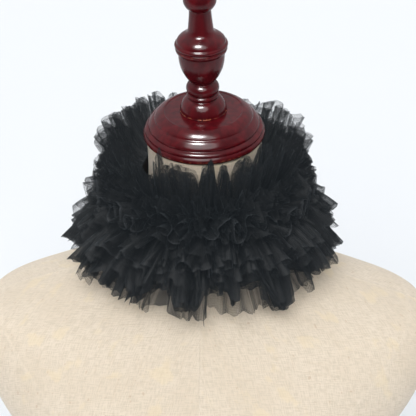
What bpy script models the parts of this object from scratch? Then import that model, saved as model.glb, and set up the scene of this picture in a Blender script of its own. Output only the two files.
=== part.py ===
"""Black tulle ruff collar on a limbless linen dress form with a turned cap and finial.

Metres, +Z up.  The form stands on its flat underside at z = 0, facing -Y.
"""
import math

import bmesh
import bpy
import numpy as np
from mathutils import Vector

# ---- driving sizes (metres, degrees) -------------------------------------------------
CAP_Z = 0.465            # height of the cap's underside centre above the form's flat base
NECK_FORWARD = 9.0       # forward lean of the neck, cap and finial
NECK_SIDE = 1.2          # lean of the same toward the wearer's right (-X)
SEAM_GAP = 0.0004        # clear gap left between pieces that meet

NECK_RADIUS = 0.0495     # form's neck just under the cap
BAND_INNER = 0.0556      # gathering band, inner radius
BAND_WALL = 0.0014
BAND_TOP = -0.036        # band edges, measured along the neck from the cap's underside
BAND_BOTTOM = -0.064
CLOTH_WALL = 0.0013      # one gathered tulle row, as its solid's wall
COLLAR_X = -0.0005       # collar centre, from the cap's underside centre
COLLAR_Y = 0.0075
ROOT_RIPPLE = 0.0006     # pleat depth left where a row is stitched to the band
PLEAT_OPENING = 1.5      # how late along a row its pleats open out

TORSO_SIDES = 44
CAP_SIDES = 44
FINIAL_SIDES = 32
BAND_SIDES = 44

# One row of the table per tulle row, roots listed from the top down.  Root height is from the
# cap's underside; tips are (radius, height) at the side, front and back; pleat is half the depth
# of a pleat at the tip; count is pleats round the neck and steps the facets in each; squeeze
# pinches pleats toward loops; bend_out and bend_up place the bend of the row's profile.
ROW_COLUMNS = ("name", "root", "side", "front", "back", "pleat", "count", "steps",
               "squeeze", "bend_out", "bend_up", "phase")
ROWS = (
    ("ruffle_crown", -0.0385, (0.083, -0.005), (0.068, -0.007), (0.080, 0.005),
     0.0085, 26, 6, 0.30, 0.62, 0.22, 0.0),
    ("ruffle_upper", -0.0440, (0.094, -0.026), (0.083, -0.033), (0.090, -0.022),
     0.0095, 25, 6, 0.35, 0.55, 0.25, 1.3),
    ("ruffle_middle", -0.0495, (0.100, -0.053), (0.097, -0.050), (0.098, -0.046),
     0.0105, 20, 8, 0.62, 0.50, 0.40, 0.4),
    ("ruffle_lower", -0.0550, (0.111, -0.084), (0.102, -0.083), (0.108, -0.077),
     0.0095, 26, 6, 0.35, 0.55, 0.22, 2.1),
    ("ruffle_skirt", -0.0605, (0.113, -0.108), (0.090, -0.123), (0.115, -0.100),
     0.0065, 26, 6, 0.25, 0.55, 0.24, 2.1),
)

# Slow unevenness of the pleats round the neck: what it changes, waves per turn, size, phase.
UNEVEN = (
    ("width", 3, 0.16, 0.5),
    ("width", 5, 0.12, 2.2),
    ("width", 8, 0.07, 4.1),
    ("depth", 4, 0.10, 1.1),
    ("depth", 7, 0.06, 3.3),
    ("reach", 3, 0.025, 0.9),
    ("reach", 5, 0.030, 2.6),
    ("reach", 11, 0.030, 4.4),
)

# Dress form sections from the neck down: height from the cap's underside centre, centre x and y,
# half width, depth to the front, depth to the back, squareness, forward tilt of the section.
TORSO_COLUMNS = ("z", "x", "y", "half_width", "front", "back", "square", "tilt")
TORSO = (
    (-0.0300, 0.0006, 0.0047, 0.0500, 0.0500, 0.0500, 2.00, 9.0),
    (-0.0600, 0.0012, 0.0090, 0.0522, 0.0520, 0.0525, 2.00, 8.5),
    (-0.0840, 0.0014, 0.0110, 0.0570, 0.0545, 0.0560, 2.00, 8.0),
    (-0.1030, 0.0012, 0.0120, 0.0670, 0.0590, 0.0610, 2.00, 7.0),
    (-0.1195, 0.0008, 0.0125, 0.0850, 0.0655, 0.0680, 2.00, 5.5),
    (-0.1345, 0.0004, 0.0130, 0.1120, 0.0735, 0.0760, 2.05, 4.0),
    (-0.1475, 0.0000, 0.0130, 0.1440, 0.0815, 0.0840, 2.15, 2.5),
    (-0.1585, 0.0000, 0.0120, 0.1760, 0.0890, 0.0920, 2.30, 1.0),
    (-0.1695, 0.0000, 0.0110, 0.2020, 0.0960, 0.0990, 2.45, 0.0),
    (-0.1830, 0.0000, 0.0090, 0.2100, 0.1010, 0.1060, 2.55, 0.0),
    (-0.2020, 0.0000, 0.0070, 0.2115, 0.1070, 0.1120, 2.60, 0.0),
    (-0.2300, -0.0005, 0.0040, 0.2050, 0.1120, 0.1170, 2.55, 0.0),
    (-0.2600, -0.0015, 0.0010, 0.1915, 0.1140, 0.1190, 2.45, 0.0),
    (-0.2900, -0.0025, 0.0000, 0.1735, 0.1120, 0.1160, 2.35, 0.0),
    (-0.3250, -0.0015, 0.0000, 0.1535, 0.1060, 0.1090, 2.25, 0.0),
    (-0.3650, -0.0005, 0.0000, 0.1350, 0.0980, 0.1010, 2.20, 0.0),
    (-0.4000, 0.0000, 0.0000, 0.1270, 0.0950, 0.0960, 2.20, 0.0),
    (-0.4350, 0.0000, 0.0000, 0.1310, 0.0980, 0.0990, 2.20, 0.0),
    (-0.4650, 0.0000, 0.0000, 0.1390, 0.1020, 0.1040, 2.20, 0.0),
)

# Bust of the form: fullness, half spacing, spread across, height below the cap, spread in height.
BUST = (0.0240, 0.078, 0.052, -0.290, 0.062)

# Turned profiles: height along the neck's axis above the cap's underside, radius.
CAP_PROFILE = (
    (0.0000, 0.0492), (0.0012, 0.0512), (0.0034, 0.0524), (0.0056, 0.0518), (0.0070, 0.0507),
    (0.0082, 0.0509), (0.0097, 0.0497), (0.0109, 0.0475), (0.0121, 0.0479), (0.0138, 0.0474),
    (0.0156, 0.0459), (0.0176, 0.0441), (0.0188, 0.0424), (0.0198, 0.0419), (0.0217, 0.0400),
    (0.0238, 0.0368), (0.0250, 0.0338), (0.0243, 0.0328), (0.0245, 0.0250),
)
FINIAL_PROFILE = (
    (0.0249, 0.0196), (0.0275, 0.0198), (0.0309, 0.0188), (0.0338, 0.0172), (0.0362, 0.0148),
    (0.0374, 0.0126), (0.0384, 0.0133), (0.0400, 0.0137), (0.0417, 0.0124), (0.0434, 0.0133),
    (0.0463, 0.0140), (0.0500, 0.0128), (0.0524, 0.0102), (0.0552, 0.0121), (0.0600, 0.0151),
    (0.0650, 0.0173), (0.0700, 0.0186), (0.0750, 0.0192), (0.0796, 0.0194), (0.0805, 0.0203),
    (0.0820, 0.0214), (0.0836, 0.0216), (0.0846, 0.0210), (0.0856, 0.0218), (0.0868, 0.0221),
    (0.0882, 0.0214), (0.0892, 0.0205), (0.0918, 0.0193), (0.0938, 0.0172), (0.0954, 0.0145),
    (0.0974, 0.0117), (0.1020, 0.0103), (0.1095, 0.0095), (0.1176, 0.0090), (0.1186, 0.0101),
    (0.1212, 0.0123), (0.1256, 0.0136), (0.1308, 0.0127), (0.1352, 0.0098), (0.1378, 0.0055),
)

FINISH = {
    "tulle": ((0.013, 0.013, 0.016, 1.0), 0.75, 0.0),
    "band": ((0.016, 0.016, 0.018, 1.0), 0.60, 0.0),
    "linen": ((0.800, 0.715, 0.585, 1.0), 0.90, 0.0),
    "mahogany": ((0.115, 0.012, 0.016, 1.0), 0.16, 0.0),
}

for old in list(bpy.data.objects):
    bpy.data.objects.remove(old, do_unlink=True)


def table(columns, rows):
    return [dict(zip(columns, row)) for row in rows]


def finish(name, kind):
    colour, rough, metal = FINISH[kind]
    mat = bpy.data.materials.new(name + "_" + kind)
    mat.use_nodes = True
    shader = mat.node_tree.nodes["Principled BSDF"]
    shader.inputs["Base Color"].default_value = colour
    shader.inputs["Roughness"].default_value = rough
    shader.inputs["Metallic"].default_value = metal
    mat.diffuse_color = colour
    return mat


def add_object(name, points, faces, kind):
    mesh = bpy.data.meshes.new(name)
    mesh.from_pydata([tuple(p) for p in points], [], faces)
    bm = bmesh.new()
    bm.from_mesh(mesh)
    bmesh.ops.recalc_face_normals(bm, faces=bm.faces)
    bmesh.ops.triangulate(bm, faces=[f for f in bm.faces if len(f.verts) == 4])
    bm.to_mesh(mesh)
    bm.free()
    for poly in mesh.polygons:
        poly.use_smooth = len(poly.vertices) < 5
    mesh.materials.append(finish(name, kind))
    obj = bpy.data.objects.new(name, mesh)
    bpy.context.scene.collection.objects.link(obj)
    return obj


def neck_frame():
    """Unit vectors of the leaning neck: right, front-to-back, and up its axis."""
    lean, side = math.radians(NECK_FORWARD), math.radians(NECK_SIDE)
    up = Vector((-math.sin(side), -math.sin(lean), math.cos(lean))).normalized()
    right = Vector((1.0, 0.0, 0.0))
    right = (right - up * right.dot(up)).normalized()
    return right, up.cross(right), up


NECK_RIGHT, NECK_BACK, NECK_UP = neck_frame()
CAP_CENTRE = Vector((0.0, 0.0, CAP_Z))


def on_neck(radius, angle, height):
    return (CAP_CENTRE + NECK_UP * height
            + NECK_RIGHT * (radius * math.cos(angle)) + NECK_BACK * (radius * math.sin(angle)))


def loft(rings):
    """Closed solid through rings with the same number of points, flat at both ends."""
    count = len(rings[0])
    points = [p for ring in rings for p in ring]
    faces = []
    for level in range(len(rings) - 1):
        low, high = level * count, (level + 1) * count
        faces += [(low + i, low + (i + 1) % count, high + (i + 1) % count, high + i)
                  for i in range(count)]
    last = (len(rings) - 1) * count
    faces.append(tuple(reversed(range(count))))
    faces.append(tuple(range(last, last + count)))
    return points, faces


def turned(name, profile, sides, kind):
    rings = [[on_neck(radius, 2 * math.pi * i / sides, height) for i in range(sides)]
             for height, radius in profile]
    return add_object(name, *loft(rings), kind)


def torso_ring(row):
    """One section of the form: a squared oval, deeper or shallower to the front and back."""
    ring = []
    tilt = math.radians(row["tilt"])
    for i in range(TORSO_SIDES):
        angle = 2 * math.pi * i / TORSO_SIDES
        c, s = math.cos(angle), math.sin(angle)
        depth = row["back"] if s > 0 else row["front"]
        power = 2.0 / row["square"]
        x = row["half_width"] * math.copysign(abs(c) ** power, c)
        y = depth * math.copysign(abs(s) ** power, s)
        if s < 0:
            full, apart, wide, level, tall = BUST
            y -= full * (math.exp(-((abs(x) - apart) / wide) ** 2 - ((row["z"] - level) / tall) ** 2)
                         * min(1.0, -y / (0.5 * depth)))
        ring.append(Vector((row["x"] + x, row["y"] + y * math.cos(tilt),
                            CAP_Z + row["z"] + y * math.sin(tilt))))
    return ring


def build_torso():
    top = [on_neck(NECK_RADIUS, 2 * math.pi * i / TORSO_SIDES, -SEAM_GAP)
           for i in range(TORSO_SIDES)]
    rings = [top] + [torso_ring(row) for row in table(TORSO_COLUMNS, TORSO)]
    return add_object("form_torso", *loft(rings), "linen")


def build_band():
    """Plain tube round the neck that every tulle row is gathered on."""
    corners = ((BAND_INNER, BAND_BOTTOM), (BAND_INNER + BAND_WALL, BAND_BOTTOM),
               (BAND_INNER + BAND_WALL, BAND_TOP), (BAND_INNER, BAND_TOP))
    points, faces = [], []
    for i in range(BAND_SIDES):
        angle = 2 * math.pi * i / BAND_SIDES
        points += [on_neck(radius, angle, height) for radius, height in corners]
    for i in range(BAND_SIDES):
        here, there = 4 * i, 4 * ((i + 1) % BAND_SIDES)
        faces += [(here + k, there + k, there + (k + 1) % 4, here + (k + 1) % 4)
                  for k in range(4)]
    return add_object("neck_band", points, faces, "band")


def uneven(what, angle, shift):
    return sum(size * math.sin(waves * angle + phase + shift)
               for kind, waves, size, phase in UNEVEN if kind == what)


def around(row, angle, index):
    """Tip radius or height at an angle, blended between side, front and back."""
    share = math.sin(angle) ** 2
    end = row["back"] if math.sin(angle) > 0 else row["front"]
    return row["side"][index] * (1.0 - share) + end[index] * share


def row_point(row, u, s):
    """Point of a row's middle surface: u turns round the neck, s runs from root to edge."""
    turn = 2 * math.pi * u
    phase = row["count"] * turn + row["phase"]
    angle = turn + uneven("width", turn, row["phase"]) / row["count"]
    angle -= row["squeeze"] * s * math.sin(2 * phase) / row["count"]
    reach = 1.0 + s * uneven("reach", turn, 2 * row["phase"])
    tip_r = around(row, angle, 0)
    tip_z = around(row, angle, 1)
    root_r = BAND_INNER + BAND_WALL + SEAM_GAP + CLOTH_WALL / 2 + ROOT_RIPPLE
    root = on_neck(root_r, angle, row["root"]) - CAP_CENTRE
    start = Vector((math.hypot(root.x - COLLAR_X, root.y - COLLAR_Y), root.z))
    end = Vector((start.x + (tip_r - start.x) * reach, start.y + (tip_z - start.y) * reach))
    bend = Vector((start.x + (end.x - start.x) * row["bend_out"],
                   start.y + (end.y - start.y) * row["bend_up"]))
    spot = start * (1 - s) ** 2 + bend * (2 * s * (1 - s)) + end * s ** 2
    run = (bend - start) * (2 * (1 - s)) + (end - bend) * (2 * s)
    across = Vector((-run.y, run.x)).normalized()
    opening = s ** PLEAT_OPENING * (1 + uneven("depth", turn, row["phase"]))
    depth = ROOT_RIPPLE * (1 - s) + row["pleat"] * opening
    spot = spot + across * (depth * math.sin(phase))
    heading = math.atan2(root.y - COLLAR_Y, root.x - COLLAR_X)
    return Vector((COLLAR_X + spot.x * math.cos(heading), COLLAR_Y + spot.x * math.sin(heading),
                   CAP_Z + spot.y))


ROW_STATIONS = (0.0, 0.5, 1.0)


def build_row(row):
    """A gathered row as one closed wall: inner and outer faces joined at root and edge."""
    columns = row["count"] * row["steps"]
    step = 1e-3
    walls = []
    for i in range(columns):
        u = i / columns
        for s in ROW_STATIONS:
            middle = row_point(row, u, s)
            along = row_point(row, u + step / row["count"], s) - row_point(
                row, u - step / row["count"], s)
            out = row_point(row, u, min(1.0, s + step)) - row_point(row, u, max(0.0, s - step))
            normal = along.cross(out).normalized() * (CLOTH_WALL / 2)
            walls.append((middle + normal, middle - normal))
    stations = len(ROW_STATIONS)
    points = [p for pair in walls for p in pair]

    def index(i, k, side):
        return ((i % columns) * stations + k) * 2 + side

    faces = []
    for i in range(columns):
        for k in range(stations - 1):
            faces.append((index(i, k, 0), index(i + 1, k, 0), index(i + 1, k + 1, 0),
                          index(i, k + 1, 0)))
            faces.append((index(i, k, 1), index(i, k + 1, 1), index(i + 1, k + 1, 1),
                          index(i + 1, k, 1)))
        for k in (0, stations - 1):
            faces.append((index(i, k, 0), index(i, k, 1), index(i + 1, k, 1),
                          index(i + 1, k, 0)))
    return add_object(row["name"], points, faces, "tulle")


build_torso()
turned("neck_cap", CAP_PROFILE, CAP_SIDES, "mahogany")
turned("finial", FINIAL_PROFILE, FINIAL_SIDES, "mahogany")
build_band()
for tulle_row in table(ROW_COLUMNS, ROWS):
    build_row(tulle_row)
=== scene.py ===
import math

import bpy
import numpy as np
from mathutils import Matrix, Vector
from mathutils.bvhtree import BVHTree


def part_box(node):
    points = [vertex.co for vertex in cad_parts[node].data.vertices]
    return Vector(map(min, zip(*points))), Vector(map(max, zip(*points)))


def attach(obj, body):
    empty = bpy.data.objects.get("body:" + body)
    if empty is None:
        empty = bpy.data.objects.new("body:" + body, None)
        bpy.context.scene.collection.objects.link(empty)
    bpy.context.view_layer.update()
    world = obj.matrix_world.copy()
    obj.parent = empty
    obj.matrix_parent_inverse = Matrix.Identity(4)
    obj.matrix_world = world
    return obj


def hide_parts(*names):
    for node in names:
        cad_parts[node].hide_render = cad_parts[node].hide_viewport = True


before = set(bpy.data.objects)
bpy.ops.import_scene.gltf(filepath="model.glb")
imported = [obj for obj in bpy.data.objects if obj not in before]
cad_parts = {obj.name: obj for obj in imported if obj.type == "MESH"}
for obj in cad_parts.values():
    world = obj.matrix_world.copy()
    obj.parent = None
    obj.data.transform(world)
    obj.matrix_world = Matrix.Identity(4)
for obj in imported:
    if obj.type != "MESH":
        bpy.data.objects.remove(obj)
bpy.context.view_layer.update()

# ---- the frame's sizes, in metres and degrees -----------------------------------------
NECK_FORWARD = 9.0
NECK_SIDE = 1.2
NECK_RADIUS = 0.0495
CAP_GAP = 0.0004               # cap's underside above the middle of the neck's top
FORM_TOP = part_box("form_torso")[1][2]
CAP_Z = FORM_TOP - NECK_RADIUS * math.sin(math.radians(NECK_FORWARD)) + CAP_GAP
COLLAR_X = -0.0005
COLLAR_Y = 0.0075
COLLAR_DROP = 0.05             # collar's middle below the cap, where the lamps aim
BAND_RADIUS = 0.0572           # just outside the CAD band, and gives the ribbon its length
BAND_HEIGHTS = (-0.064, -0.036)
ROOT_RADIUS = 0.0582
SIDE_SEAM_Y = 0.012            # form's side and shoulder seams lie in this upright plane

# Smallest gaps of the net from the form, and from the neck's axis, and where each holds.
CLEAR_OF_FORM = 0.0012
CLEAR_OF_NECK = 0.0560
FORM_BELOW = -0.055
NECK_ABOVE = -0.070

# ---- camera: the turned cap seen from the front and above ------------------------------
CAMERA_PITCH = 26.0
CAMERA_AZIMUTH = 2.5
CAMERA_LENS = 95.2
CAMERA_FROM_CAP = (0.0032, -0.8831, 0.3597)   # before it turns round the cap by the azimuth


# ======================================================================================
# small helpers
# ======================================================================================
def rows_of(columns, rows):
    """Rows of values as dictionaries that are keyed by the columns' names."""
    return [dict(zip(columns, row)) for row in rows]


def neck_axes():
    """Right, back and up of the leaning neck, which the cap, finial and band follow."""
    lean, side = math.radians(NECK_FORWARD), math.radians(NECK_SIDE)
    up = Vector((-math.sin(side), -math.sin(lean), math.cos(lean))).normalized()
    right = Vector((1.0, 0.0, 0.0))
    right = (right - up * right.dot(up)).normalized()
    return np.array(right), np.array(up.cross(right)), np.array(up)


RIGHT, BACK, UP = neck_axes()
CAP_CENTRE = np.array((0.0, 0.0, CAP_Z))


def grid_mesh(name, points, closed=True, uv=None, attributes=(), caps=False):
    """Mesh from a (columns, rows, 3) grid of points, joined round the columns where closed."""
    columns, rows = points.shape[:2]
    index = np.arange(columns * rows).reshape(columns, rows)
    ring = np.concatenate([index, index[:1]], axis=0) if closed else index
    faces = face_corners(ring).reshape(-1, 4).tolist()
    if caps:
        faces.append(index[::-1, 0].tolist())
        faces.append(index[:, -1].tolist())
    mesh = bpy.data.meshes.new(name)
    mesh.from_pydata(points.reshape(-1, 3).tolist(), [], faces)
    mesh.polygons.foreach_set("use_smooth", [len(face) == 4 for face in faces])
    if uv is not None:
        layer = mesh.uv_layers.new(name="UVMap")
        if callable(uv):
            corners = uv(face_corners(np.concatenate([points, points[:1]], axis=0)))
        else:
            corners = face_corners(np.concatenate([uv, uv[:1] + uv_step(uv)], axis=0))
        flat = corners.reshape(-1, 2)
        data = np.zeros((len(mesh.loops), 2))
        data[:len(flat)] = flat
        layer.data.foreach_set("uv", data.ravel())
    for key, values in attributes:
        mesh.attributes.new(key, "FLOAT", "POINT").data.foreach_set("value", values.ravel())
    obj = bpy.data.objects.new(name, mesh)
    bpy.context.scene.collection.objects.link(obj)
    return obj


def face_corners(grid):
    """Values of a grid at the four corners of each of its faces."""
    return np.stack([grid[:-1, :-1], grid[1:, :-1], grid[1:, 1:], grid[:-1, 1:]], axis=2)


def uv_step(cells):
    """How far the map runs on from the last column to the first, so the seam has no jump."""
    step = np.zeros_like(cells[:1])
    step[..., 0] = cells[-1:, :, 0] * 2 - cells[-2:-1, :, 0] - cells[:1, :, 0]
    return step


def wander(turn, low, high, rng):
    """Smooth uneven curve round the ring with about unit size: waves low to high, mixed."""
    waves = np.arange(max(1, int(low)), max(2, int(high)) + 1)
    sizes = rng.normal(size=len(waves)) / math.sqrt(len(waves)) * 1.2
    phases = rng.uniform(0, 2 * math.pi, len(waves))
    angles = 2 * math.pi * turn[:, None] * waves[None, :] + phases[None, :]
    return (np.sin(angles) * sizes).sum(axis=1)


# ======================================================================================
# materials
# ======================================================================================
class Nodes:
    """Short way to build a node tree: each call adds a node, sets values and links inputs."""

    def __init__(self, name):
        self.material = bpy.data.materials.new(name)
        self.material.use_nodes = True
        self.tree = self.material.node_tree
        self.tree.nodes.clear()

    def add(self, kind, props=None, **inputs):
        node = self.tree.nodes.new(kind)
        for key, value in (props or {}).items():
            setattr(node, key, value)
        for key, value in inputs.items():
            self.put(node, key.replace("_", " "), value)
        return node

    def put(self, node, key, value):
        socket = node.inputs[int(key[1:])] if key[:1] == "#" else node.inputs[key]
        if isinstance(value, bpy.types.NodeSocket):
            self.tree.links.new(value, socket)
        else:
            socket.default_value = value

    def math(self, operation, a, b=0.0, c=None, clamp=False):
        node = self.add("ShaderNodeMath", {"operation": operation, "use_clamp": clamp})
        self.put(node, "#0", a)
        self.put(node, "#1", b)
        if c is not None:
            self.put(node, "#2", c)
        return node.outputs[0]

    def mix(self, factor, a, b):
        node = self.add("ShaderNodeMix", {"data_type": "RGBA"})
        self.put(node, "#0", factor)
        self.put(node, "#6", a)
        self.put(node, "#7", b)
        return node.outputs[2]

    def spread(self, value, low, high, out_low=0.0, out_high=1.0):
        node = self.add("ShaderNodeMapRange", {"interpolation_type": "SMOOTHSTEP"})
        for socket, number in enumerate((value, low, high, out_low, out_high)):
            self.put(node, f"#{socket}", number)
        return node.outputs[0]

    def attribute(self, key):
        return self.add("ShaderNodeAttribute", {"attribute_name": key}).outputs["Fac"]

    def finish(self, shader):
        output = self.add("ShaderNodeOutputMaterial")
        self.tree.links.new(shader, output.inputs["Surface"])
        return self.material


NET_CELL = 0.0014              # net's cell, along the cloth
NET_UNEVEN = 0.45              # how far the cells stray from a regular grid
THREAD_SIDES = (0.06, 0.20)    # a thread's solid core and its outer side, as shares of a cell
CREASE_COVER = 0.45            # cover that a crease adds
CUT_EDGE_COVER = 0.12          # cover that the cut edge adds
HIGHLIGHTED_EDGE_COVER = 0.4         # and what an edge with the full painted highlight adds to that
TULLE_COLOUR = (0.0076, 0.0088, 0.0098, 1.0)
TULLE_DEEP = (0.0054, 0.0064, 0.0072, 1.0)
# Painted highlight along the net's open edge.
TULLE_PAINTED_HIGHLIGHT = (0.046, 0.051, 0.056, 1.0)
TULLE_PAINTED_GLOW = (0.0074, 0.0091, 0.0107, 1.0)   # painted glow: emission that stands in for light passing from layer to layer


def tulle_material(name, film, thread, painted_edge_highlight):
    """Black net: see-through cells between threads, denser along creases and at the cut edge, with
    a painted highlight on the edge and a painted glow.
    """
    n = Nodes(name)
    place = n.add("ShaderNodeUVMap").outputs[0]
    cell = n.add("ShaderNodeVectorMath", {"operation": "SCALE"})
    n.put(cell, "#0", place)
    cell.inputs["Scale"].default_value = 1.0 / NET_CELL
    flat_cells = {"feature": "DISTANCE_TO_EDGE", "voronoi_dimensions": "2D"}
    net = n.add("ShaderNodeTexVoronoi", flat_cells, Vector=cell.outputs[0], Scale=1.0,
                Randomness=NET_UNEVEN)
    threads = n.spread(net.outputs["Distance"], *THREAD_SIDES, thread, film)
    crease = n.attribute("crease")
    edge = n.attribute("edge")
    dense = n.math("MULTIPLY_ADD", crease, CREASE_COVER, threads)
    edge_cover = CUT_EDGE_COVER + HIGHLIGHTED_EDGE_COVER * painted_edge_highlight
    cover = n.math("MULTIPLY_ADD", edge, edge_cover, dense, clamp=True)
    patches = n.add("ShaderNodeTexNoise", Scale=38.0, Detail=2.0)
    shade = n.mix(n.spread(patches.outputs[0], 0.35, 0.65), TULLE_COLOUR, TULLE_DEEP)
    # Painted highlight: the open edge is lightened by each ply's painted highlight amount.
    colour = n.mix(n.math("MULTIPLY", edge, painted_edge_highlight), shade, TULLE_PAINTED_HIGHLIGHT)
    cloth = n.add("ShaderNodeBsdfPrincipled", Base_Color=colour, Roughness=0.70, Alpha=cover)
    cloth.inputs["Specular IOR Level"].default_value = 0.15
    cloth.inputs["Sheen Weight"].default_value = 0.05
    cloth.inputs["Sheen Roughness"].default_value = 0.45
    cloth.inputs["Sheen Tint"].default_value = (0.50, 0.62, 0.70, 1.0)
    # Painted glow: the net emits a little light that stands in for light passing between its
    # layers.
    cloth.inputs["Emission Color"].default_value = TULLE_PAINTED_GLOW
    cloth.inputs["Emission Strength"].default_value = 1.0
    return n.finish(cloth.outputs[0])


LINEN_PALE = (0.750, 0.650, 0.527, 1.0)
LINEN_DEEP = (0.721, 0.616, 0.487, 1.0)
LINEN_THREAD = (0.638, 0.547, 0.428, 1.0)
LINEN_SLUB = (0.62, 0.50, 0.35, 1.0)
LINEN_SPECK = (0.50, 0.33, 0.19, 1.0)
LINEN_STAIN = (0.780, 0.650, 0.440, 1.0)
# Painted highlight on the seams' ridges and painted shade in their grooves.
SEAM_PAINTED_HIGHLIGHT = (0.92, 0.83, 0.70, 1.0)
SEAM_PAINTED_SHADE = (0.50, 0.40, 0.29, 1.0)


def linen_material():
    """Woven linen with slubs, specks, faint yellow stains, and a ridge and groove at each seam,
    with a painted highlight on the ridge and painted shade in the groove.
    """
    n = Nodes("linen")
    place = n.add("ShaderNodeUVMap").outputs[0]

    def noise(scale, stretch, detail=2.0):
        moved = n.add("ShaderNodeMapping", Vector=place, Scale=(*stretch, 1.0))
        return n.add("ShaderNodeTexNoise", {"noise_dimensions": "2D"}, Vector=moved.outputs[0],
                     Scale=scale, Detail=detail).outputs[0]

    weft = noise(700.0, (0.16, 1.6))
    warp = noise(700.0, (1.6, 0.16))
    slub_weft = n.spread(noise(230.0, (0.14, 2.2)), 0.60, 0.76)
    slub_warp = n.spread(noise(210.0, (2.2, 0.14)), 0.60, 0.76)
    slubs = n.math("ADD", slub_weft, slub_warp, clamp=True)
    patches = noise(14.0, (1.0, 1.0), 4.0)
    specks = n.spread(noise(210.0, (1.0, 0.6), 1.0), 0.775, 0.82)
    weave = n.math("ADD", n.math("MULTIPLY", weft, 0.5), n.math("MULTIPLY", warp, 0.5))
    base = n.mix(n.spread(patches, 0.35, 0.68), LINEN_PALE, LINEN_DEEP)
    threads = n.mix(n.spread(weave, 0.36, 0.60), LINEN_THREAD, base)
    slubbed = n.mix(n.math("MULTIPLY", slubs, 0.20), threads, LINEN_SLUB)
    specked = n.mix(n.math("MULTIPLY", specks, 0.35), slubbed, LINEN_SPECK)
    stains = n.spread(noise(38.0, (1.0, 0.8), 3.0), 0.60, 0.72)
    stained = n.mix(n.math("MULTIPLY", stains, 0.42), specked, LINEN_STAIN)
    seam = n.math("ABSOLUTE", n.attribute("seam"))
    ridge = n.spread(seam, 0.0006, 0.0030, 1.0, 0.0)
    groove = n.spread(seam, 0.0, 0.0008, 1.0, 0.0)
    # Painted highlight along each seam's ridge and painted shade in its groove, beside their bump.
    seam_painted_light = n.mix(n.math("MULTIPLY", ridge, 0.10), stained, SEAM_PAINTED_HIGHLIGHT)
    seam_painted_light = n.mix(n.math("MULTIPLY", groove, 0.10), seam_painted_light, SEAM_PAINTED_SHADE)
    height = n.math("ADD", n.math("MULTIPLY", weave, 0.0006), n.math("MULTIPLY", slubs, 0.0002))
    height = n.math("ADD", height, n.math("MULTIPLY", ridge, 0.0005))
    height = n.math("SUBTRACT", height, n.math("MULTIPLY", groove, 0.0004))
    bump = n.add("ShaderNodeBump", Height=height, Strength=0.7, Distance=1.0)
    cloth = n.add("ShaderNodeBsdfPrincipled", Base_Color=seam_painted_light, Roughness=0.88,
                  Normal=bump.outputs[0])
    cloth.inputs["Specular IOR Level"].default_value = 0.2
    cloth.inputs["Sheen Weight"].default_value = 0.15
    cloth.inputs["Sheen Roughness"].default_value = 0.5
    return n.finish(cloth.outputs[0])


WOOD_DARK = (0.056, 0.0028, 0.0052, 1.0)
WOOD_LIGHT = (0.100, 0.0046, 0.0078, 1.0)
WOOD_PATCH = (0.034, 0.0030, 0.0050, 1.0)
WOOD_BARE = (0.42, 0.12, 0.06, 1.0)
VARNISH_ROUGHNESS = 0.22
WORN_ROUGHER = 0.35            # roughness that bare wood adds


def mahogany_material():
    """Varnished red wood, with bare chips where the wear attribute is high."""
    n = Nodes("mahogany")
    place = n.add("ShaderNodeTexCoord").outputs["Object"]
    stretched = n.add("ShaderNodeMapping", Vector=place, Scale=(1.0, 1.0, 0.12))
    grain = n.add("ShaderNodeTexNoise", Vector=stretched.outputs[0], Scale=170.0, Detail=5.0,
                  Distortion=0.4).outputs[0]
    broad = n.add("ShaderNodeTexNoise", Vector=stretched.outputs[0], Scale=26.0,
                  Detail=3.0).outputs[0]
    grained = n.mix(n.spread(grain, 0.30, 0.72), WOOD_DARK, WOOD_LIGHT)
    stain = n.mix(n.math("MULTIPLY", n.spread(broad, 0.42, 0.66), 0.25), grained, WOOD_PATCH)
    wear = n.attribute("wear")
    chips = n.add("ShaderNodeTexNoise", Vector=place, Scale=420.0, Detail=3.0).outputs[0]
    worn = n.math("MULTIPLY", wear, n.spread(chips, 0.50, 0.62))
    colour = n.mix(worn, stain, WOOD_BARE)
    rough = n.math("MULTIPLY_ADD", worn, WORN_ROUGHER, VARNISH_ROUGHNESS)
    bump = n.add("ShaderNodeBump", Height=grain, Strength=0.05, Distance=0.001)
    wood = n.add("ShaderNodeBsdfPrincipled", Base_Color=colour, Roughness=rough,
                 Normal=bump.outputs[0])
    wood.inputs["Coat Weight"].default_value = 0.60
    wood.inputs["Coat Roughness"].default_value = 0.19
    wood.inputs["Specular IOR Level"].default_value = 0.0
    return n.finish(wood.outputs[0])


RIBBON_DARK = (0.010, 0.010, 0.012, 1.0)
RIBBON_LIGHT = (0.030, 0.030, 0.034, 1.0)


def ribbon_material():
    """Black ribbed elastic."""
    n = Nodes("ribbon")
    place = n.add("ShaderNodeUVMap").outputs[0]
    ribs = n.add("ShaderNodeTexWave", {"wave_type": "BANDS", "bands_direction": "X"},
                 Vector=place, Scale=320.0, Distortion=0.6)
    shade = n.mix(ribs.outputs["Fac"], RIBBON_DARK, RIBBON_LIGHT)
    bump = n.add("ShaderNodeBump", Height=ribs.outputs["Fac"], Strength=0.5, Distance=0.0005)
    cloth = n.add("ShaderNodeBsdfPrincipled", Base_Color=shade, Roughness=0.55,
                  Normal=bump.outputs[0])
    return n.finish(cloth.outputs[0])


PAPER_A = (0.790, 0.813, 0.835, 1.0)
PAPER_B = (0.809, 0.827, 0.847, 1.0)
DARK_FLOOR = (0.08, 0.08, 0.09, 1.0)
PAPER_ENDS = (-1.3, -0.45)     # where the white paper gives way to the darker floor in front


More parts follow.
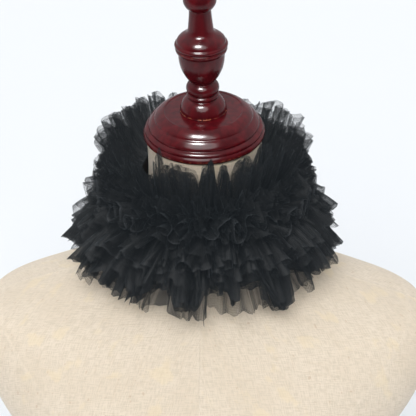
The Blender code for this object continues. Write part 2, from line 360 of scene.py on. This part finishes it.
def floor_material():
    """White paper. The camera sees only paper, and all other rays see a dark floor in front."""
    n = Nodes("studio_floor")
    cloud = n.add("ShaderNodeTexNoise", Scale=0.6, Detail=1.0).outputs[0]
    paper = n.mix(cloud, PAPER_A, PAPER_B)
    split = n.add("ShaderNodeSeparateXYZ", Vector=n.add("ShaderNodeTexCoord").outputs["Object"])
    reach = n.spread(split.outputs["Y"], *PAPER_ENDS)
    seen = n.add("ShaderNodeLightPath").outputs["Is Camera Ray"]
    tone = n.mix(n.math("MAXIMUM", reach, seen), DARK_FLOOR, paper)
    shader = n.add("ShaderNodeBsdfPrincipled", Base_Color=tone, Roughness=0.9)
    shader.inputs["Specular IOR Level"].default_value = 0.0
    return n.finish(shader.outputs[0])


# ======================================================================================
# tulle rows
# ======================================================================================
# Tip (radius, height) at the side, front and back: near the CAD rows' tips, and up to about
# 3 mm off them where that matches the outline better.
ROW_COLUMNS = ("name", "root", "side", "front", "back", "bend_out", "bend_up")
ROWS = rows_of(ROW_COLUMNS, (
    ("crown", -0.0385, (0.083, -0.005), (0.068, -0.007), (0.080, 0.005), 0.62, 0.22),
    ("upper", -0.0440, (0.092, -0.026), (0.083, -0.033), (0.090, -0.022), 0.55, 0.25),
    ("middle", -0.0495, (0.098, -0.053), (0.097, -0.050), (0.098, -0.046), 0.50, 0.40),
    ("lower", -0.0550, (0.110, -0.087), (0.102, -0.083), (0.108, -0.077), 0.55, 0.22),
    ("skirt", -0.0605, (0.113, -0.107), (0.092, -0.124), (0.115, -0.100), 0.55, 0.24),
))

# One line per layer of net: the row it belongs to, its place between the rows (0 crown to
# 4 skirt), folds round the neck, half a fold's depth, how far folds pinch into loops, how far
# it reaches of its row's tip, how uneven its edge is, the lobes along its edge, the cover of
# its cells and threads, the strength of the painted highlight on its edge, and its seed.
PLY_COLUMNS = ("row", "place", "folds", "depth", "pinch", "reach", "ragged", "lobes", "film",
               "thread", "painted_highlight", "seed")
PLIES = rows_of(PLY_COLUMNS, (
    ("crown", -0.12, 34, 0.0060, 0.40, 1.06, 0.050, 0.20, 0.08, 0.60, 0.0, 11),
    ("crown", -0.06, 44, 0.0056, 0.35, 0.92, 0.050, 0.20, 0.18, 0.76, 0.0, 12),
    ("crown", 0.04, 46, 0.0056, 0.35, 0.90, 0.050, 0.18, 0.20, 0.80, 0.1, 13),
    ("crown", 0.12, 44, 0.0058, 0.40, 0.88, 0.050, 0.14, 0.20, 0.80, 0.0, 14),
    ("crown", 0.26, 30, 0.0075, 0.45, 1.12, 0.060, 0.14, 0.05, 0.55, 0.0, 15),
    ("upper", 0.84, 44, 0.0060, 0.45, 0.93, 0.060, 0.00, 0.16, 0.74, 0.1, 21),
    ("upper", 1.00, 46, 0.0062, 0.45, 0.95, 0.055, 0.00, 0.20, 0.80, 0.1, 22),
    ("upper", 1.16, 42, 0.0062, 0.45, 0.93, 0.060, 0.00, 0.20, 0.80, 0.1, 23),
    ("upper", 1.30, 38, 0.0072, 0.45, 1.06, 0.080, 0.06, 0.10, 0.66, 0.0, 24),
    ("middle", 1.82, 44, 0.0064, 0.55, 0.95, 0.060, 0.00, 0.18, 0.76, 0.1, 31),
    ("middle", 2.00, 34, 0.0090, 1.05, 1.00, 0.030, 0.00, 0.22, 0.80, 0.6, 32),
    ("middle", 2.18, 42, 0.0068, 0.55, 0.95, 0.060, 0.00, 0.20, 0.80, 0.1, 33),
    ("middle", 2.34, 38, 0.0074, 0.45, 1.07, 0.080, 0.06, 0.10, 0.66, 0.0, 34),
    ("lower", 2.84, 42, 0.0068, 0.45, 0.98, 0.055, 0.00, 0.18, 0.76, 0.1, 41),
    ("lower", 3.00, 38, 0.0080, 0.55, 0.97, 0.045, 0.00, 0.20, 0.80, 0.2, 42),
    ("lower", 3.14, 42, 0.0068, 0.45, 0.98, 0.055, 0.00, 0.20, 0.80, 0.1, 43),
    ("lower", 3.28, 38, 0.0074, 0.45, 1.07, 0.080, 0.06, 0.10, 0.66, 0.0, 44),
    ("skirt", 3.78, 42, 0.0064, 0.45, 1.03, 0.060, 0.10, 0.44, 0.92, 0.0, 51),
    ("skirt", 3.90, 40, 0.0062, 0.45, 1.04, 0.065, 0.12, 0.38, 0.90, 0.0, 52),
    ("skirt", 4.00, 38, 0.0060, 0.45, 1.03, 0.075, 0.14, 0.28, 0.86, 0.0, 53),
    ("skirt", 4.08, 34, 0.0052, 0.40, 1.06, 0.070, 0.12, 0.10, 0.64, 0.0, 54),
))
EDGE_LOBES = 30
SAMPLES_PER_FOLD = 14
PLY_ROWS = 15

# Front of the crown and of the skirt, where the cloth folds into separate lobes: the angles
# it runs between, the reach between lobes, how flat the folds lie, and a factor on every reach
# there; then each lobe's angle round the neck, half its width, and its reach.
FRONTS = {
    "crown": ((-150.0, -24.0, 0.70, 0.65, 0.89), (
        (-143.0, 7.0, 1.04), (-120.0, 1.7, 1.50), (-108.0, 15.0, 1.10), (-86.5, 5.0, 1.12),
        (-84.0, 3.6, 1.24), (-74.0, 3.8, 1.12), (-61.0, 7.5, 1.30), (-47.0, 7.5, 1.58),
        (-35.0, 6.5, 1.66),
    )),
    "skirt": ((-122.0, -30.0, 0.80, 0.35, 1.03), (
        (-99.0, 8.5, 1.03), (-74.0, 2.4, 1.00), (-50.0, 7.0, 1.22),
    )),
}
FRONT_BLEND = 10.0             # degrees over which a front's ends run into the row's sides
LONGEST_FLARE = 1.15           # no ply flares out past this share of its row, however tall it is
SHEEREST = 0.12                # plies whose cells cover less than this are the see-through ones

# Sizes of the folds' unevenness. Each one scales a curve of about unit size.
WIDTH_UNEVEN = 0.55            # folds' widths
DEPTH_UNEVEN = 0.38            # folds' depths, kept within the range below
DEPTH_RANGE = (0.30, 1.75)
PINCH_UNEVEN = 0.45            # how far folds pinch into loops
PINCH_MOST = 1.6
PHASE_UNEVEN = 0.75            # where along the ring each fold peaks
LEAN = 0.055                   # how far tips lean round the neck, in radians
ROLL = 0.012                   # and how far their small curls add to that
CLUMPING = 0.35                # share of a fold's depth by which whole clumps stand out
FINE_DEPTH = 0.0026            # small puckers, deepest at the root
FINER_DEPTH = 0.0008           # still smaller ones, gone at the open edge
LIFT_DEPTH = 0.0030            # slow rise and fall of the open edge
CRUMPLE_DEPTH = 0.0009         # dents down the length of a fold
ROOT_DEPTH = 0.16              # share of a fold's depth left at the gathered root
FRAY = 0.40                    # small share of an edge's unevenness, beside the broad one
CREASE_FROM = 1.35             # puckers stronger than this are drawn as creases
# Crown's rises and dips to the sides and behind: angle round the neck, half width, change of
# reach in the dense plies, and in the see-through ones.
CROWN_RISES = (
    (138.0, 20.0, 0.20, 0.12), (88.0, 24.0, -0.28, -0.42), (46.0, 14.0, -0.22, 0.04),
    (20.0, 14.0, -0.06, 0.12), (176.0, 16.0, -0.04, 0.20),
)


def between(values, place):
    """Value at a fractional row place, carried on past the first and last rows."""
    values = np.array(values, float)
    low = int(min(max(math.floor(place), 0), len(values) - 2))
    return values[low] + (values[low + 1] - values[low]) * (place - low)


def front_lobes(angle, first, last, low, lobes):
    """How far a front edge reaches at each angle, and how much of the edge there is front."""
    degrees = (np.degrees(angle) + 180.0) % 360.0 - 180.0
    edge = np.full(angle.shape, low)
    for centre, half, height in lobes:
        arch = 1.0 - ((degrees - centre) / half) ** 4
        edge = np.maximum(edge, low + (height - low) * np.sqrt(np.maximum(arch, 0.0)))
    inside = np.minimum(degrees - first, last - degrees) / FRONT_BLEND
    return edge, np.clip(inside, 0.0, 1.0)


def crown_rise(angle, sheer):
    """How much further than usual the crown reaches at each angle."""
    degrees = np.degrees(angle) % 360.0
    rise = np.ones(angle.shape)
    for centre, half, dense_change, sheer_change in CROWN_RISES:
        away = (degrees - centre + 180.0) % 360.0 - 180.0
        rise += (sheer_change if sheer else dense_change) * np.exp(-(away / half) ** 2)
    return rise


def row_shape(place):
    """Root height, tips and bend of the row at a fractional place between the rows."""
    return {key: between([row[key] for row in ROWS], place)
            for key in ("root", "side", "front", "back", "bend_out", "bend_up")}


def ply_points(ply):
    """Grid of points for one gathered layer, with its crease strength at every point."""
    rng = np.random.default_rng(ply["seed"])
    shape = row_shape(ply["place"])
    folds = ply["folds"]
    columns = folds * SAMPLES_PER_FOLD
    q = np.arange(columns) / columns
    s = np.linspace(0.0, 1.0, PLY_ROWS)[None, :]

    # The fewest and most waves of each curve round the ring. The order of the draws counts.
    width = wander(q, folds / 8, folds * 0.7, rng)
    deep = np.clip(1.0 + DEPTH_UNEVEN * wander(q, folds / 6, folds * 1.1, rng), *DEPTH_RANGE)
    pinch = ply["pinch"] * (1.0 + PINCH_UNEVEN * wander(q, folds / 5, folds, rng))
    pinch = np.clip(pinch, 0.0, PINCH_MOST)
    phase = 2 * math.pi * folds * q + PHASE_UNEVEN * wander(q, folds / 4, folds * 0.8, rng)
    clump = wander(q, folds * 0.3, folds * 0.6, rng)
    fine = wander(q, folds * 2.2, folds * 3.4, rng)
    finer = wander(q, folds * 3.5, folds * 5.0, rng)
    lean = wander(q, 2, folds * 0.4, rng)
    lift = wander(q, 3, folds * 0.5, rng)
    length = wander(q, 2, folds * 0.6, rng)
    fray = wander(q, folds * 1.5, folds * 4, rng)
    roll = wander(q, folds * 0.5, folds * 1.3, rng)

    angle = 2 * math.pi * q + WIDTH_UNEVEN * width / folds
    angle = angle[:, None] - pinch[:, None] * s ** 1.2 * np.sin(2 * phase)[:, None] / folds
    angle = angle + (LEAN * lean[:, None] * s ** 2) + ROLL * roll[:, None] * s ** 3

    heading = np.stack([np.cos(angle), np.sin(angle)])
    root = (UP[:, None, None] * shape["root"]
            + RIGHT[:, None, None] * ROOT_RADIUS * heading[0]
            + BACK[:, None, None] * ROOT_RADIUS * heading[1])
    away = np.stack([root[0] - COLLAR_X, root[1] - COLLAR_Y])
    start_r, start_z = np.hypot(*away), root[2]
    facing = away / start_r

    share = heading[1] ** 2
    end = np.where(heading[1] > 0, 1.0, 0.0)
    tip = [shape["side"][k] * (1 - share)
           + (shape["back"][k] * end + shape["front"][k] * (1 - end)) * share for k in (0, 1)]
    bulge = np.abs(np.sin(math.pi * EDGE_LOBES * q + 0.5 * width)) ** 0.4 - 0.75
    lobed, share_lobed, flat, longest = 1.0, np.zeros(columns), 0.0, 1.0
    if ply["row"] in FRONTS:
        (first, last, low, flat, longest), lobes = FRONTS[ply["row"]]
        lobed, share_lobed = front_lobes(angle[:, -1], first, last, low, lobes)
        if ply["row"] == "skirt" and ply["film"] < SHEEREST:
            share_lobed = np.zeros(columns)
    ragged = ply["ragged"] * (1.0 - 0.65 * share_lobed) * (length + FRAY * fray)
    uneven = 1.0 + ragged + ply["lobes"] * bulge * (1.0 - share_lobed)
    lobe_reach = longest * (lobed + ragged)
    own_reach = ply["reach"] * uneven
    if ply["row"] == "crown":
        own_reach = own_reach * crown_rise(angle[:, -1], ply["film"] < SHEEREST)
    reach = (own_reach * (1 - share_lobed) + lobe_reach * share_lobed)[:, None]
    end_r = start_r + (tip[0] - start_r) * np.minimum(reach, LONGEST_FLARE)
    end_z = start_z + (tip[1] - start_z) * reach
    bend_r = start_r + (end_r - start_r) * shape["bend_out"]
    bend_z = start_z + (end_z - start_z) * shape["bend_up"]
    r = start_r * (1 - s) ** 2 + bend_r * 2 * s * (1 - s) + end_r * s ** 2
    z = start_z * (1 - s) ** 2 + bend_z * 2 * s * (1 - s) + end_z * s ** 2
    run_r = (bend_r - start_r) * (1 - s) + (end_r - bend_r) * s
    run_z = (bend_z - start_z) * (1 - s) + (end_z - bend_z) * s
    size = np.hypot(run_r, run_z)
    across_r, across_z = -run_z / size, run_r / size

    open_out = ROOT_DEPTH + (1 - ROOT_DEPTH) * s ** 0.9
    wave = np.sin(phase)[:, None]
    depth = ply["depth"] * deep[:, None] * open_out * wave
    depth = depth + CLUMPING * ply["depth"] * clump[:, None] * s ** 1.3
    depth = (depth + FINE_DEPTH * fine[:, None] * (1 - 0.68 * s)
             + FINER_DEPTH * finer[:, None] * (1 - s))
    depth = depth + LIFT_DEPTH * lift[:, None] * s ** 1.5
    depth = depth * (1 - flat * share_lobed[:, None] * s)
    crumple = np.sin(9 * s + 3 * lean[:, None]) * roll[:, None]
    depth = depth + CRUMPLE_DEPTH * crumple * s
    r = r + across_r * depth
    z = z + across_z * depth
    points = np.stack([COLLAR_X + r * facing[0], COLLAR_Y + r * facing[1], CAP_Z + z], axis=-1)
    crease = np.abs(wave) ** 20 + 0.6 * (np.abs(fine)[:, None] > CREASE_FROM)
    return points, np.clip(crease, 0, 1) * np.ones_like(s)


def keep_clear(points, tree):
    """Moves points that come too near the form or the neck out to a small gap."""
    flat = points.reshape(-1, 3)
    axis = flat - CAP_CENTRE
    along = axis @ UP
    radial = axis - along[:, None] * UP
    size = np.linalg.norm(radial, axis=1)
    near = (size < CLEAR_OF_NECK) & (along > NECK_ABOVE)
    flat[near] += radial[near] / size[near, None] * (CLEAR_OF_NECK - size[near])[:, None]
    for i in np.nonzero(along < FORM_BELOW)[0]:
        spot, normal, _, _ = tree.find_nearest(Vector(flat[i]))
        height = (Vector(flat[i]) - spot).dot(normal)
        if height < CLEAR_OF_FORM:
            flat[i] = np.array(Vector(flat[i]) + normal * (CLEAR_OF_FORM - height))
    return flat.reshape(points.shape)


def cloth_steps(points):
    """Steps over the cloth: across the folds in each row of cells, and down along the folds."""
    drop = np.diff(points, axis=1)
    rises = np.linalg.norm(drop, axis=2)
    run = drop / rises[..., None]
    middle = (points[:, 1:] + points[:, :-1]) / 2
    step = np.roll(middle, -1, axis=0) - middle
    sheared = (step * run).sum(axis=2, keepdims=True) * run
    return np.linalg.norm(step - sheared, axis=2), rises


def add_ply(ply, number, tree):
    """One strip of net, from its gathered root to its open edge, and what it stands for."""
    points, crease = ply_points(ply)
    points = keep_clear(points, tree)
    across, rises = cloth_steps(points)
    down = np.concatenate([np.zeros((len(points), 1)), rises.cumsum(axis=1)], axis=1)
    along = np.concatenate([[0.0], across[:-1, -1].cumsum()])
    uv = np.stack([np.repeat(along[:, None], PLY_ROWS, axis=1), down], axis=-1)
    edge = np.zeros(points.shape[:2])
    edge[:, -1] = 1.0
    obj = grid_mesh(f"tulle_{ply['row']}_{number}", points, uv=uv,
                    attributes=(("crease", crease), ("edge", edge)))
    obj.data.materials.append(tulle_material(obj.name, ply["film"], ply["thread"], ply["painted_highlight"]))
    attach(obj, "root")
    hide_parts(f"ruffle_{ply['row']}")


def build_tulle(form):
    """All plies of the five rows, kept clear of the form."""
    tree = BVHTree.FromPolygons([v.co for v in form.data.vertices],
                                [p.vertices for p in form.data.polygons])
    counts = {}
    for ply in PLIES:
        counts[ply["row"]] = counts.get(ply["row"], 0) + 1
        add_ply(ply, counts[ply["row"]], tree)


RIBBON_RIBS = 96
RIBBON_RIB = 0.0004            # half the height of a rib
RIBBON_INSET = 0.0008          # from BAND_RADIUS in to the ribs, about the middle of the CAD wall


def build_ribbon():
    """Gathered elastic ribbon that the rows are stitched to."""
    columns, levels = 720, 6
    turn = np.arange(columns) / columns
    height = np.linspace(*BAND_HEIGHTS, levels)
    ripple = RIBBON_RIB * np.sin(2 * math.pi * RIBBON_RIBS * turn)
    radius = (BAND_RADIUS - RIBBON_INSET + ripple)[:, None]
    angle = (2 * math.pi * turn)[:, None]
    points = (CAP_CENTRE + UP * height[None, :, None] + RIGHT * (radius * np.cos(angle))[..., None]
              + BACK * (radius * np.sin(angle))[..., None])
    length = 2 * math.pi * BAND_RADIUS
    uv = np.stack([np.repeat(turn[:, None] * length, levels, 1),
                   np.repeat(height[None, :], columns, 0)], axis=-1)
    obj = grid_mesh("neck_ribbon", points, uv=uv)
    obj.data.materials.append(ribbon_material())
    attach(obj, "root")
    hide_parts("neck_band")


# ======================================================================================
# dress form, cap and finial
# ======================================================================================
# Sections below the neck's top: height from the cap, centre x and y, half width, front and back
# depth, how square the outline is (2 is an ellipse), and the forward tilt in degrees.
TORSO = (
    (-0.0300, 0.0006, 0.0047, 0.0500, 0.0500, 0.0500, 2.00, 9.0),
    (-0.0600, 0.0012, 0.0090, 0.0522, 0.0520, 0.0525, 2.00, 8.5),
    (-0.0840, 0.0014, 0.0110, 0.0570, 0.0545, 0.0560, 2.00, 8.0),
    (-0.1030, 0.0012, 0.0120, 0.0670, 0.0590, 0.0610, 2.00, 7.0),
    (-0.1195, 0.0008, 0.0125, 0.0850, 0.0655, 0.0680, 2.00, 5.5),
    (-0.1345, 0.0004, 0.0130, 0.1120, 0.0735, 0.0760, 2.05, 4.0),
    (-0.1475, 0.0000, 0.0130, 0.1440, 0.0815, 0.0840, 2.15, 2.5),
    (-0.1585, 0.0000, 0.0120, 0.1760, 0.0890, 0.0920, 2.30, 1.0),
    (-0.1695, 0.0000, 0.0110, 0.2020, 0.0960, 0.0990, 2.45, 0.0),
    (-0.1830, 0.0000, 0.0090, 0.2100, 0.1010, 0.1060, 2.55, 0.0),
    (-0.2020, 0.0000, 0.0070, 0.2115, 0.1070, 0.1120, 2.60, 0.0),
    (-0.2300, -0.0005, 0.0040, 0.2050, 0.1120, 0.1170, 2.55, 0.0),
    (-0.2600, -0.0015, 0.0010, 0.1915, 0.1140, 0.1190, 2.45, 0.0),
    (-0.2900, -0.0025, 0.0000, 0.1735, 0.1120, 0.1160, 2.35, 0.0),
    (-0.3250, -0.0015, 0.0000, 0.1535, 0.1060, 0.1090, 2.25, 0.0),
    (-0.3650, -0.0005, 0.0000, 0.1350, 0.0980, 0.1010, 2.20, 0.0),
    (-0.4000, 0.0000, 0.0000, 0.1270, 0.0950, 0.0960, 2.20, 0.0),
    (-0.4350, 0.0000, 0.0000, 0.1310, 0.0980, 0.0990, 2.20, 0.0),
    (-0.4650, 0.0000, 0.0000, 0.1390, 0.1020, 0.1040, 2.20, 0.0),
)
# Bust: fullness, distance of each side from the middle, spread across, height, spread in height.
BUST = (0.0240, 0.078, 0.052, -0.290, 0.062)
FORM_COLUMNS, FORM_LEVELS = 320, 230


def smooth_table(rows, count):
    """Rows of numbers, filled in to count rows by a cubic curve that keeps the given rows."""
    rows = np.array(rows, float)
    slope = np.gradient(rows, axis=0)
    at = np.linspace(0, len(rows) - 1, count)
    low = np.minimum(at.astype(int), len(rows) - 2)
    t = (at - low)[:, None]
    a, b, ma, mb = rows[low], rows[low + 1], slope[low], slope[low + 1]
    return ((2 * t ** 3 - 3 * t ** 2 + 1) * a + (t ** 3 - 2 * t ** 2 + t) * ma
            + (-2 * t ** 3 + 3 * t ** 2) * b + (t ** 3 - t ** 2) * mb)


def build_form():
    """Linen-covered form: the CAD sections, smoothed, with a distance to the nearest seam."""
    neck = (-CAP_GAP, 0.0, 0.0, NECK_RADIUS, NECK_RADIUS, NECK_RADIUS, 2.0, NECK_FORWARD)
    table = smooth_table((neck,) + TORSO, FORM_LEVELS)
    z, x0, y0, half, front, back, square, tilt = (table[:, k][None, :] for k in range(8))
    angle = (2 * math.pi * np.arange(FORM_COLUMNS) / FORM_COLUMNS)[:, None]
    c, s = np.cos(angle), np.sin(angle)
    depth = np.where(s > 0, back, front)
    x = half * np.sign(c) * np.abs(c) ** (2 / square)
    y = depth * np.sign(s) * np.abs(s) ** (2 / square)
    full, apart, wide, level, tall = BUST
    swell = full * np.exp(-((np.abs(x) - apart) / wide) ** 2 - ((z - level) / tall) ** 2)
    y = y - np.where(s < 0, swell * np.minimum(1.0, -y / (0.5 * depth)), 0.0)
    lean = np.radians(tilt)
    points = np.stack([x0 + x, y0 + y * np.cos(lean), CAP_Z + z + y * np.sin(lean)], axis=-1)
    points[:, -1, 2] = 0.0
    points = points[:, ::-1]
    obj = grid_mesh("linen_form", points, uv=grain_map, caps=True,
                    attributes=(("seam", seam_distance(points)),))
    obj.data.materials.append(linen_material())
    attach(obj, "root")
    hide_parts("form_torso")
    return obj


def grain_map(corners):
    """Cloth coordinates in metres, by face: across and down each of the four main panels."""
    x, y, z = corners[..., 0], corners[..., 1], corners[..., 2]
    middle = corners.mean(axis=2, keepdims=True)
    side = np.where(middle[..., 0] < 0, -1.0, 1.0)
    facing = np.where(middle[..., 1] > SIDE_SEAM_Y, -1.0, 1.0)
    across = side * x + 0.6 * y * facing + 1.7 * (side < 0) + 3.9 * (facing < 0)
    return np.stack([across, z + 0.75 * y * facing], axis=-1)


# Princess seams: how far below the cap they start, how far from the middle they are there, how
# much nearer they come, and over what height.
PRINCESS_TOP, PRINCESS_APART, PRINCESS_IN, PRINCESS_FALL = 0.150, 0.206, 0.128, 0.140
PRINCESS_SLANT = 0.72          # a slanting seam's distance, as a share of the sideways one
SHOULDER_FROM = 0.04           # side and shoulder seam is only this far from the middle or more
NO_SEAM = 1.0                  # distance that stands for none


def seam_distance(points):
    """Distance to the nearest seam: centre front and back, princess seams, side and shoulder."""
    x, z = points[..., 0], points[..., 2] - CAP_Z
    centre = np.abs(x)
    fall = np.clip((-z - PRINCESS_TOP) / PRINCESS_FALL, 0.0, 1.0)
    princess = np.abs(np.abs(x) - (PRINCESS_APART - PRINCESS_IN * fall ** 0.85))
    princess = np.where(z < -PRINCESS_TOP, princess * PRINCESS_SLANT, NO_SEAM)
    side = np.where(np.abs(x) > SHOULDER_FROM, np.abs(points[..., 1] - SIDE_SEAM_Y), NO_SEAM)
    return np.minimum(np.minimum(centre, princess), side)


# Profiles of the turned wood, as (height above the cap's underside, radius).
CAP_PROFILE = (
    (0.0000, 0.0480), (0.0000, 0.0492), (0.0004, 0.0501), (0.0012, 0.0512), (0.0022, 0.0520),
    (0.0034, 0.0524), (0.0046, 0.0523), (0.0056, 0.0518), (0.0064, 0.0511), (0.0069, 0.0507),
    (0.0074, 0.0508), (0.0082, 0.0509), (0.0090, 0.0506), (0.0097, 0.0499), (0.0104, 0.0487),
    (0.0109, 0.0476), (0.0113, 0.0475), (0.0118, 0.0478), (0.0128, 0.0478), (0.0138, 0.0474),
    (0.0148, 0.0467), (0.0157, 0.0459), (0.0167, 0.0450), (0.0176, 0.0440), (0.0183, 0.0429),
    (0.0188, 0.0423), (0.0192, 0.0421), (0.0198, 0.0419), (0.0208, 0.0411), (0.0217, 0.0401),
    (0.0228, 0.0386), (0.0238, 0.0369), (0.0246, 0.0352), (0.0249, 0.0341), (0.0248, 0.0334),
    (0.0244, 0.0329), (0.0244, 0.0320), (0.0245, 0.0280), (0.0245, 0.0100),
)
FINIAL_PROFILE = (
    (0.0249, 0.0100), (0.0249, 0.0193), (0.0255, 0.0197), (0.0275, 0.0198), (0.0293, 0.0194),
    (0.0309, 0.0188), (0.0324, 0.0181), (0.0338, 0.0172), (0.0352, 0.0160), (0.0362, 0.0147),
    (0.0370, 0.0131), (0.0375, 0.0127), (0.0380, 0.0130), (0.0388, 0.0135), (0.0400, 0.0137),
    (0.0410, 0.0134), (0.0416, 0.0126), (0.0421, 0.0125), (0.0428, 0.0129), (0.0440, 0.0136),
    (0.0463, 0.0140), (0.0484, 0.0137), (0.0502, 0.0127), (0.0516, 0.0112), (0.0524, 0.0103),
    (0.0532, 0.0105), (0.0552, 0.0121), (0.0575, 0.0137), (0.0600, 0.0151), (0.0650, 0.0173),
    (0.0700, 0.0186), (0.0750, 0.0192), (0.0788, 0.0193), (0.0797, 0.0195), (0.0801, 0.0200),
    (0.0806, 0.0207), (0.0820, 0.0214), (0.0833, 0.0216), (0.0841, 0.0213), (0.0845, 0.0210),
    (0.0849, 0.0213), (0.0857, 0.0219), (0.0868, 0.0221), (0.0878, 0.0218), (0.0885, 0.0209),
    (0.0890, 0.0205), (0.0902, 0.0202), (0.0918, 0.0193), (0.0938, 0.0172), (0.0954, 0.0145),
    (0.0964, 0.0128), (0.0976, 0.0116), (0.0996, 0.0107), (0.1030, 0.0102), (0.1095, 0.0095),
    (0.1160, 0.0090), (0.1174, 0.0090), (0.1180, 0.0095), (0.1186, 0.0103), (0.1196, 0.0112),
    (0.1212, 0.0123), (0.1232, 0.0132), (0.1256, 0.0136), (0.1282, 0.0134), (0.1308, 0.0127),
    (0.1334, 0.0115), (0.1352, 0.0098), (0.1368, 0.0077), (0.1378, 0.0055), (0.1381, 0.0010),
)
# Where the varnish has worn: height and radius of each edge, and how much.
WORN_EDGES = {
    "turned_cap": ((0.0008, 0.0505, 0.9), (0.0034, 0.0524, 0.45), (0.0246, 0.0204, 0.8)),
    "turned_finial": ((0.0252, 0.0196, 1.0), (0.0833, 0.0216, 0.25)),
}
WORN_WIDTH = 0.0008
TURNED_SIDES = 144
THINNEST = 0.0002              # smallest turned radius, so that no points coincide


def build_turned(name, node, profile, wood):
    """Turned piece on the neck's axis, with worn varnish along its sharpest edges."""
    table = smooth_table(profile, len(profile) * 3 - 2)
    height = np.broadcast_to(table[:, 0], (TURNED_SIDES, len(table)))
    radius = np.maximum(table[:, 1], THINNEST)[None, :]
    angle = (2 * math.pi * np.arange(TURNED_SIDES) / TURNED_SIDES)[:, None]
    points = (CAP_CENTRE + UP * height[..., None]
              + RIGHT * (radius * np.cos(angle))[..., None]
              + BACK * (radius * np.sin(angle))[..., None])
    wear = np.zeros(points.shape[:2])
    for edge_height, edge_radius, amount in WORN_EDGES[name]:
        away = np.hypot(height - edge_height, radius - edge_radius)
        wear = np.maximum(wear, amount * np.exp(-(away / WORN_WIDTH) ** 2))
    obj = grid_mesh(name, points, attributes=(("wear", wear),), caps=True)
    obj.data.materials.append(wood)
    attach(obj, "root")
    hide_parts(node)


# ======================================================================================
# studio
# ======================================================================================
FLOOR_HALF = 9.0
ROOM_NEAR, ROOM_FAR = 0.14, 0.86   # brightness of the room behind the camera and ahead of it
ROOM_ENDS = (-0.85, 0.35)          # headings, along Y, between which it goes from near to far


def build_studio():
    """Floor, room and lamps. The softbox shows only in gloss, for the wood's highlights."""
    sides = (-FLOOR_HALF, FLOOR_HALF)
    points = np.array([[(x, y, 0.0) for y in sides] for x in sides])
    floor = grid_mesh("studio_floor", points, closed=False)
    floor.data.materials.append(floor_material())

    world = bpy.data.worlds.new("studio")
    world.use_nodes = True
    back = world.node_tree.nodes["Background"]
    back.inputs[0].default_value = (0.95, 0.97, 1.0, 1.0)
    tree = world.node_tree
    heading = tree.nodes.new("ShaderNodeTexCoord")
    split = tree.nodes.new("ShaderNodeSeparateXYZ")
    room = tree.nodes.new("ShaderNodeMapRange")
    room.interpolation_type = "SMOOTHSTEP"
    for socket, value in enumerate((*ROOM_ENDS, ROOM_NEAR, ROOM_FAR), start=1):
        room.inputs[socket].default_value = value
    tree.links.new(heading.outputs["Generated"], split.inputs[0])
    tree.links.new(split.outputs["Y"], room.inputs[0])
    seen = tree.nodes.new("ShaderNodeLightPath").outputs["Is Camera Ray"]
    bright = tree.nodes.new("ShaderNodeMath")
    bright.operation = "MAXIMUM"
    tree.links.new(room.outputs[0], bright.inputs[0])
    tree.links.new(seen, bright.inputs[1])
    tree.links.new(bright.outputs[0], back.inputs[1])
    bpy.context.scene.world = world

    def lamp(name, kind, energy, place, size, lights_cloth=True):
        data = bpy.data.lights.new(name, kind)
        data.energy = energy
        if kind == "SUN":
            data.angle = size
        else:
            data.shape = "RECTANGLE"
            data.size, data.size_y = size
        obj = bpy.data.objects.new(name, data)
        obj.location = place
        obj.visible_diffuse = lights_cloth
        aim = Vector((0.0, 0.0, CAP_Z - COLLAR_DROP)) - Vector(place)
        obj.rotation_euler = aim.to_track_quat("-Z", "Y").to_euler()
        bpy.context.scene.collection.objects.link(obj)

    lamp("overhead", "SUN", 2.82, (-0.14, -1.5, 1.78), math.radians(50))
    lamp("softbox", "AREA", 58.0, (-0.27, -0.84, 1.82), (0.44, 0.40), lights_cloth=False)


def build_camera():
    """Camera that frames the collar from the front and above."""
    pitch = math.radians(CAMERA_PITCH)
    data = bpy.data.cameras.new("camera")
    data.sensor_width = 36.0
    data.lens = CAMERA_LENS
    data.clip_start = 0.05
    obj = bpy.data.objects.new("camera", data)
    turn = math.radians(CAMERA_AZIMUTH)
    from_cap = Matrix.Rotation(turn, 3, "Z") @ Vector(CAMERA_FROM_CAP)
    obj.location = from_cap + Vector((0.0, 0.0, CAP_Z))
    obj.rotation_euler = (math.pi / 2 - pitch, 0.0, turn)
    bpy.context.scene.collection.objects.link(obj)
    bpy.context.scene.camera = obj


build_camera()
build_studio()
linen_form = build_form()
mahogany = mahogany_material()
build_turned("turned_cap", "neck_cap", CAP_PROFILE, mahogany)
build_turned("turned_finial", "finial", FINIAL_PROFILE, mahogany)
build_ribbon()
build_tulle(linen_form)
bpy.context.scene.view_settings.view_transform = "Standard"
